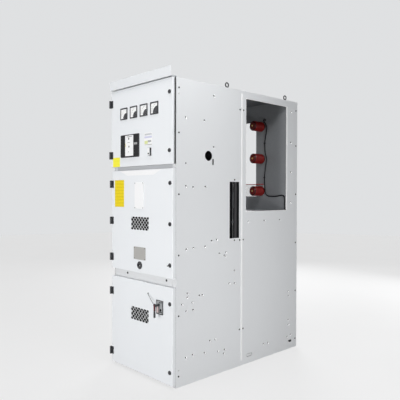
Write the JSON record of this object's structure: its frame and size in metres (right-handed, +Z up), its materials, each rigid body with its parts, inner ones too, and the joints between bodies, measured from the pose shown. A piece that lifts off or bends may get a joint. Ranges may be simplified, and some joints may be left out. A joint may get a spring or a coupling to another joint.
{
  "type": "metering switchgear cabinet",
  "caption": "Tall metal-clad metering switchgear cabinet with hinged front doors, panel meters, vents, side busbar opening and leaning header plate.",
  "frame": {"origin": "centre of the base on the floor", "axes": "+X to the right seen from the front, +Y to the back, +Z up"},
  "size_m": [0.8154, 1.5973, 2.3742],
  "materials": {
    "side_paint": "satin powder coat",
    "door_paint": "satin powder coat",
    "frame_paint": "satin powder coat",
    "coated_sheet": "matt zinc coating",
    "zinc_steel": "zinc plated",
    "white_sheet": "smooth",
    "plate_grey": "satin",
    "insulator_resin": "cast resin",
    "lead_rubber": "matt",
    "seal_rubber": "matt",
    "black_metal": "satin",
    "grille_steel": "satin",
    "black_plastic": "matt",
    "clear_sheet": "clear acrylic"
  },
  "bodies": {
    "cabinet": {"right_front_side_panel": "side_paint", "left_front_side_panel": "side_paint", "right_rear_side_panel": "side_paint", "left_rear_side_panel": "side_paint", "joint_strips": "side_paint", "corner_posts": "frame_paint", "middle_posts": "frame_paint", "front_base_rail": "frame_paint", "middle_crossbar": "frame_paint", "upper_crossbar": "frame_paint", "front_top_rail": "frame_paint", "rear_top_rail": "frame_paint", "base_plate": "coated_sheet", "roof_plate": "coated_sheet", "relief_flaps": "coated_sheet", "lifting_eyes": "zinc_steel", "header_plate": "side_paint", "instrument_floor": "coated_sheet", "instrument_back": "coated_sheet", "breaker_floor": "coated_sheet", "middle_wall": "coated_sheet", "busbar_floor": "coated_sheet", "busbar_wall": "coated_sheet", "barrier_sheet": "clear_sheet", "post_insulators": "insulator_resin", "sensor_lead": "lead_rubber", "lead_glands": "black_plastic", "shutter_rails": "coated_sheet", "rear_cover": "side_paint", "upper_hinge_brackets": "black_metal", "middle_hinge_brackets": "black_metal", "lower_hinge_brackets": "black_metal"},
    "upper_door": {"upper_door": "door_paint", "upper_door_seal": "seal_rubber", "panel_meters": "black_plastic", "protection_relay": "black_plastic", "humidity_controller": "black_plastic", "upper_hinge_leaves": "black_metal", "upper_door_locks": "black_plastic"},
    "middle_door": {"middle_door": "door_paint", "middle_vent_grille": "grille_steel", "window_cover": "white_sheet", "blank_plate": "plate_grey", "crank_socket": "black_plastic", "middle_hinge_leaves": "black_metal", "middle_door_locks": "black_plastic"},
    "lower_door": {"lower_door": "door_paint", "lower_vent_grille": "grille_steel", "interlock_plate": "plate_grey", "lower_hinge_leaves": "black_metal", "lower_door_locks": "black_plastic"},
    "interlock_handle": {"interlock_handle": "black_metal"}
  },
  "joints": [
    {"name": "upper_door_hinge", "type": "hinge", "parent": "cabinet", "child": "upper_door", "pos_m": [-0.4034, -0.7949, 1.9745], "axis": [0, 0, -1], "range_deg": [0, 120]},
    {"name": "middle_door_hinge", "type": "hinge", "parent": "cabinet", "child": "middle_door", "pos_m": [-0.4034, -0.7894, 1.221], "axis": [0, 0, -1], "range_deg": [0, 120]},
    {"name": "lower_door_hinge", "type": "hinge", "parent": "cabinet", "child": "lower_door", "pos_m": [-0.4034, -0.7894, 0.3825], "axis": [0, 0, -1], "range_deg": [0, 120]},
    {"name": "interlock_handle_turn", "type": "hinge", "parent": "lower_door", "child": "interlock_handle", "pos_m": [0.248, -0.8, 0.601], "axis": [0, -1, 0], "range_deg": [0, 90]}
  ]
}
